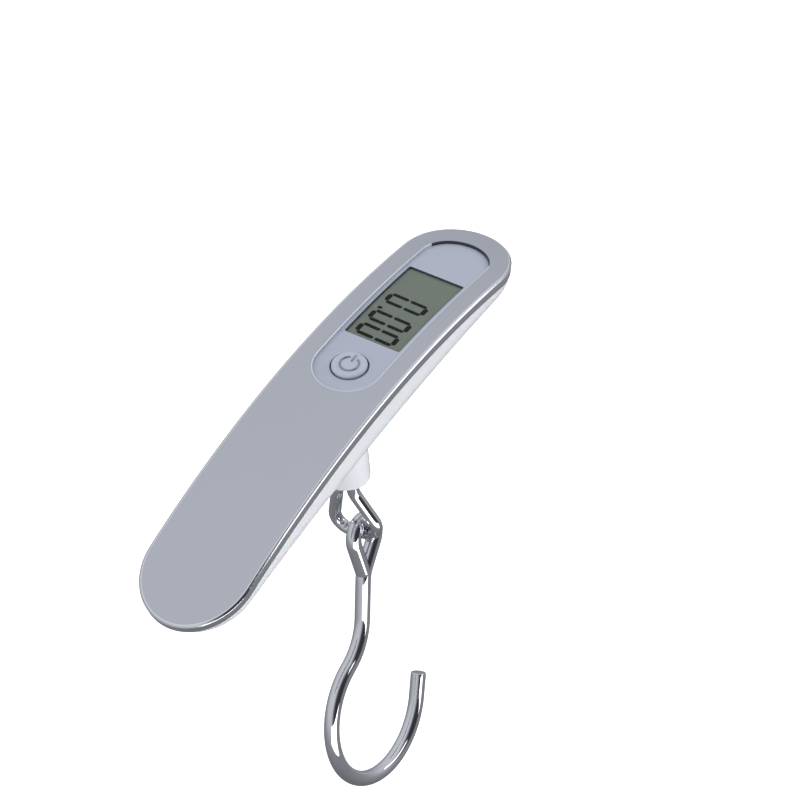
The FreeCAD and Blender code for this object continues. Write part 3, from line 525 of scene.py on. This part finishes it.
def digit_zero(s, y):
    """The six lit segments of a nought.  It reads towards -s and stands up towards -Y."""
    half_w, half_h = (DIGIT_WIDTH - STROKE) / 2, (DIGIT_HEIGHT - STROKE) / 2
    runs = [((-half_w, half_h), (half_w, half_h), 1.15), ((-half_w, -half_h), (half_w, -half_h), 1.15)]
    for u in (-half_w, half_w):
        runs += [((u, 0), (u, half_h), 0.95), ((u, -half_h), (u, 0), 0.95)]
    outlines = []
    for start, end, weight in runs:
        a, b = Vector(start), Vector(end)
        gap = (b - a).normalized() * STROKE_GAP
        shape = segment(a + gap, b - gap, STROKE * weight)
        outlines.append([(s - u - SLANT * v / DIGIT_HEIGHT, y - v) for u, v in shape])
    return outlines


lit = []
for centre in DIGIT_CENTRES:
    lit += digit_zero(centre, DIGIT_ACROSS)
(low, high), (near, far) = POINT
lit.append([(high, near), (high, far), (low, far), (low, near)])
ink = bmesh.new()
for outline in lit:
    top = [ink.verts.new(on_face(s, y, LCD_DEPTH - INK_ABOVE)) for s, y in outline]
    base = [ink.verts.new(on_face(s, y, LCD_DEPTH + INK_BELOW)) for s, y in outline]
    ink.faces.new(top)
    ink.faces.new(base[::-1])
    for i in range(len(top)):
        j = (i + 1) % len(top)
        ink.faces.new((top[j], top[i], base[i], base[j]))
bmesh.ops.recalc_face_normals(ink, faces=ink.faces)
ink_mesh = bpy.data.meshes.new("ink")
ink.to_mesh(ink_mesh)
ink.free()
finish_piece("lcd_digits", ink_mesh, "lcd_ink", "grip", sharp=20)


# ------------------------------------------------------------------ the button's raised mark

def on_button(along, across, lift):
    """A point on the button's flat top, in metres."""
    angle = BUTTON_ARC / FACE_RADIUS
    flat = Vector((math.cos(angle), 0, -math.sin(angle))) * along + Vector((0, 1, 0)) * across
    return on_face(BUTTON_ARC, 0, 0) + (flat + Vector((math.sin(angle), 0, math.cos(angle))) * lift) * MM


MARK_RADIUS, MARK_WIRE, MARK_LIFT, MARK_OPEN = 2.5, 0.27, 0.04, 30
MARK_BAR_START, MARK_BAR_LENGTH = 1.2, 2.1
ARC_STEPS, BAR_STEPS = 80, 8
turns = [math.radians(MARK_OPEN + (360 - 2 * MARK_OPEN) * i / ARC_STEPS) for i in range(ARC_STEPS + 1)]
arc = [on_button(MARK_RADIUS * math.cos(a), MARK_RADIUS * math.sin(a), MARK_LIFT) for a in turns]
bar = [on_button(MARK_BAR_START + MARK_BAR_LENGTH * i / BAR_STEPS, 0, MARK_LIFT)
       for i in range(BAR_STEPS + 1)]
button_up = (on_button(0, 0, 1) - on_button(0, 0, 0)).normalized()
# The mark's raised wire is real relief; its dark tone is painted shade.
for name, line in (("button_mark_ring", arc), ("button_mark_bar", bar)):
    mark = tube(line, button_up, MARK_WIRE * MM, ends=("round", "round"), around=16)
    finish_piece(name, mark, "button_mark", "power_button", sharp=0)


# ------------------------------------------------------------------ link and hook

def turned(angle, axis):
    return Matrix.Rotation(math.radians(angle), 4, axis)


HANG = Matrix.Translation((0, 0, LOAD_PIN_Z * MM)) @ turned(LINK_SWING, "X")

splay = math.radians(LINK_SPLAY)
tangent_out = LINK_HALF - LINK_CORNER * (1 - math.cos(splay))
bend_out = LINK_TOP + LINK_BEND * (1 - math.cos(splay))
run = (tangent_out - bend_out) / math.sin(splay)
drop = LINK_BEND * math.sin(splay) + run * math.cos(splay)
neck = LINK_LENGTH - LINK_CORNER - LINK_CORNER * math.sin(splay) - drop
half = plane_path((0, LINK_TOP), 0, [
    (0, LINK_TOP, -90), (neck, 0, 0), (0, LINK_BEND, LINK_SPLAY), (run, 0, 0),
    (0, LINK_CORNER, -90 - LINK_SPLAY), (LINK_HALF - LINK_CORNER, 0, 0)])
loop = half[:-1] + [(-a, b) for a, b in reversed(half[1:])]
link_path = [HANG @ Vector((0, a * MM, b * MM)) for a, b in loop]
link_mesh = tube(link_path, HANG.to_3x3() @ Vector((1, 0, 0)), LINK_WIRE * MM, closed=True)
finish_piece("link_wire", link_mesh, "chrome", "link", ["link"], sharp=0)

eye_top = EYE_RADIUS - EYE_CENTRE
taper = math.radians(EYE_TAPER)
reach = EYE_RADIUS * math.cos(taper)
run = (reach - SHANK_BEND * (1 - math.cos(taper))) / math.sin(taper)
leg_end = EYE_CENTRE + EYE_RADIUS * math.sin(taper) + run * math.cos(taper) + SHANK_BEND * math.sin(taper)
fall = BOWL_DEPTH - SHANK_END
swan = (BOWL_OFFSET ** 2 + fall ** 2 - BOWL_RADIUS ** 2) / (2 * (BOWL_RADIUS - BOWL_OFFSET))
swan_turn = math.degrees(math.atan2(fall, BOWL_OFFSET + swan))
main = plane_path((0, eye_top), 0, [
    (0, EYE_RADIUS, -90 - EYE_TAPER), (run, 0, 0), (0, SHANK_BEND, EYE_TAPER), (SHANK_END - leg_end, 0, 0),
    (0, swan, -swan_turn), (0, BOWL_RADIUS, 180 + swan_turn - TIP_FLARE), (TIP_LENGTH, 0, 0)])
free = plane_path((0, eye_top), 180, [(0, EYE_RADIUS, 90 + EYE_TAPER), (reach / math.sin(taper), 0, 0)])
path = free[::-1] + main[1:]
HOOK = (HANG @ Matrix.Translation((0, HOOK_SIDE * MM, -LINK_LENGTH * MM))
        @ turned(HOOK_LEAN, "X") @ turned(-HOOK_SWING, "Y"))
hook_path = [HOOK @ Vector((a * MM, 0, b * MM)) for a, b in path]
hook_mesh = tube(hook_path, HOOK.to_3x3() @ Vector((0, 1, 0)), HOOK_WIRE * MM, ends=("round", "flat"))
finish_piece("hook_wire", hook_mesh, "chrome", "hook", ["hook"], sharp=60)


# ------------------------------------------------------------------ floor and backdrop

FLOOR_Z, FLOOR_RADIUS, BACKDROP_RADIUS = -0.30, 2.6, 3.0
PALE, GLOW = 0.8, 0.9


def stage_piece(name, mesh):
    """A pale thing behind the object, which isn't seen in reflections."""
    data = bpy.data.meshes.new(name)
    mesh.to_mesh(data)
    mesh.free()
    item = bpy.data.objects.new(name, data)
    item.location = (0, 0, FLOOR_Z)
    bpy.context.scene.collection.objects.link(item)
    material, nodes, links, shader = new_material(name + "_pale")
    shader.inputs["Base Color"].default_value = (PALE, PALE, PALE, 1)
    shader.inputs["Roughness"].default_value = 0.9
    shader.inputs["Specular IOR Level"].default_value = 0.1
    shader.inputs["Emission Color"].default_value = (1, 1, 1, 1)
    shader.inputs["Emission Strength"].default_value = GLOW
    data.materials.append(material)
    item.visible_glossy = item.visible_diffuse = False
    return item


disc = bmesh.new()
bmesh.ops.create_circle(disc, cap_ends=True, segments=96, radius=FLOOR_RADIUS)
stage_piece("floor", disc)
dome = bmesh.new()
bmesh.ops.create_uvsphere(dome, u_segments=64, v_segments=32, radius=BACKDROP_RADIUS)
stage_piece("backdrop", dome).visible_shadow = False


# ------------------------------------------------------------------ world and lights

MIDDLE = Vector((0, 0, -0.05))
SKY_STOPS = ((0.0, 0.18), (1.0, 0.76), (0.36, 0.32), (0.50, 0.46), (0.62, 0.64), (0.80, 0.70))
SKY_TINT = (0.99, 1.01, 1.06)
UNLIT = (-8, 26)
UNLIT_EDGE, UNLIT_CORE = 58, 17
UNLIT_LEFT = 0.05


def direction(azimuth, elevation):
    """The unit vector for a direction round the object, azimuth from -Y towards +X."""
    a, e = math.radians(azimuth), math.radians(elevation)
    return Vector((math.sin(a) * math.cos(e), -math.cos(a) * math.cos(e), math.sin(e)))


world = bpy.data.worlds.new("studio")
bpy.context.scene.world = world
world.use_nodes = True
sky, sky_links = world.node_tree.nodes, world.node_tree.links
look_way = sky.new("ShaderNodeTexCoord").outputs["Generated"]

# The general brightness grows from the ground to the zenith.
height = sky.new("ShaderNodeSeparateXYZ")
sky_links.new(look_way, height.inputs["Vector"])
ramp = sky.new("ShaderNodeValToRGB")
stops = ramp.color_ramp.elements
for place, tone in SKY_STOPS:
    stop = stops.new(place) if 0 < place < 1 else stops[int(place)]
    stop.color = (*[tone * tint for tint in SKY_TINT], 1)
lift = sky.new("ShaderNodeMapRange")
lift.inputs["From Min"].default_value = -1.0
sky_links.new(height.outputs["Z"], lift.inputs["Value"])
sky_links.new(lift.outputs["Result"], ramp.inputs["Fac"])

# The studio in front of the object is unlit, with soft edges.
facing = sky.new("ShaderNodeVectorMath")
facing.operation = "DOT_PRODUCT"
sky_links.new(look_way, facing.inputs[0])
facing.inputs[1].default_value = direction(*UNLIT)
shade = sky.new("ShaderNodeMapRange")
shade.interpolation_type = "SMOOTHSTEP"
shade.inputs["From Min"].default_value = math.cos(math.radians(UNLIT_EDGE))
shade.inputs["From Max"].default_value = math.cos(math.radians(UNLIT_CORE))
shade.inputs["To Min"].default_value = 1.0
shade.inputs["To Max"].default_value = UNLIT_LEFT
sky_links.new(facing.outputs["Value"], shade.inputs["Value"])
dim = sky.new("ShaderNodeMix")
dim.data_type = "RGBA"
dim.inputs["A"].default_value = (0.01, 0.01, 0.012, 1)
sky_links.new(ramp.outputs["Color"], dim.inputs["B"])
sky_links.new(shade.outputs["Result"], dim.inputs["Factor"])
sky_links.new(dim.outputs["Result"], sky["Background"].inputs["Color"])
sky["Background"].inputs["Strength"].default_value = 1.0


def aim(item, azimuth, elevation, distance, roll=0.0):
    """Puts a light at a direction from the object's middle, facing it."""
    towards = direction(azimuth, elevation)
    turn = towards.to_track_quat("Z", "Y").to_matrix() @ Matrix.Rotation(math.radians(roll), 3, "Z")
    item.matrix_world = Matrix.Translation(MIDDLE + towards * distance) @ turn.to_4x4()


def softbox(name, azimuth, elevation, distance, size, radiance, roll=0.0):
    """A rectangular area light of a given brightness, as seen in a mirror."""
    light = bpy.data.lights.new(name, "AREA")
    light.shape = "RECTANGLE"
    light.size, light.size_y = size
    light.energy = radiance * math.pi * size[0] * size[1]
    item = bpy.data.objects.new(name, light)
    bpy.context.scene.collection.objects.link(item)
    aim(item, azimuth, elevation, distance, roll)
    return item


# The low key and the edge light show in the chrome and the bevel.  The fill only lifts the shell.
softbox("key_low", -30, -8, 0.8, (1.10, 0.42), 3.0, roll=-14)
softbox("edge_light", 35, 24, 0.8, (0.62, 0.18), 1.8, roll=-25)
fill = softbox("fill_low", 15, -20, 1.2, (1.6, 1.2), 1.1)
fill.visible_glossy = False


# ------------------------------------------------------------------ camera

AZIMUTH, ELEVATION, ROLL = -54.468, 46.776, -5.208
DISTANCE, SHIFT_X, SHIFT_Y = 1.0536, 0.018307, -0.002947
turn, roll = math.radians(AZIMUTH), math.radians(ROLL)
back = direction(AZIMUTH, ELEVATION)
right = Vector((math.cos(turn), math.sin(turn), 0))
up = back.cross(right)
right, up = right * math.cos(roll) + up * math.sin(roll), up * math.cos(roll) - right * math.sin(roll)
camera = bpy.data.cameras.new("camera")
camera.sensor_width = 36.0
camera.lens = 186.0
camera.clip_start, camera.clip_end = 0.05, 20.0
eye = bpy.data.objects.new("camera", camera)
eye.rotation_mode = "QUATERNION"
eye.rotation_quaternion = Matrix((right, up, back)).transposed().to_quaternion()
eye.location = right * SHIFT_X + up * SHIFT_Y + back * DISTANCE
bpy.context.scene.collection.objects.link(eye)
bpy.context.scene.camera = eye
bpy.context.scene.view_settings.view_transform = "Standard"
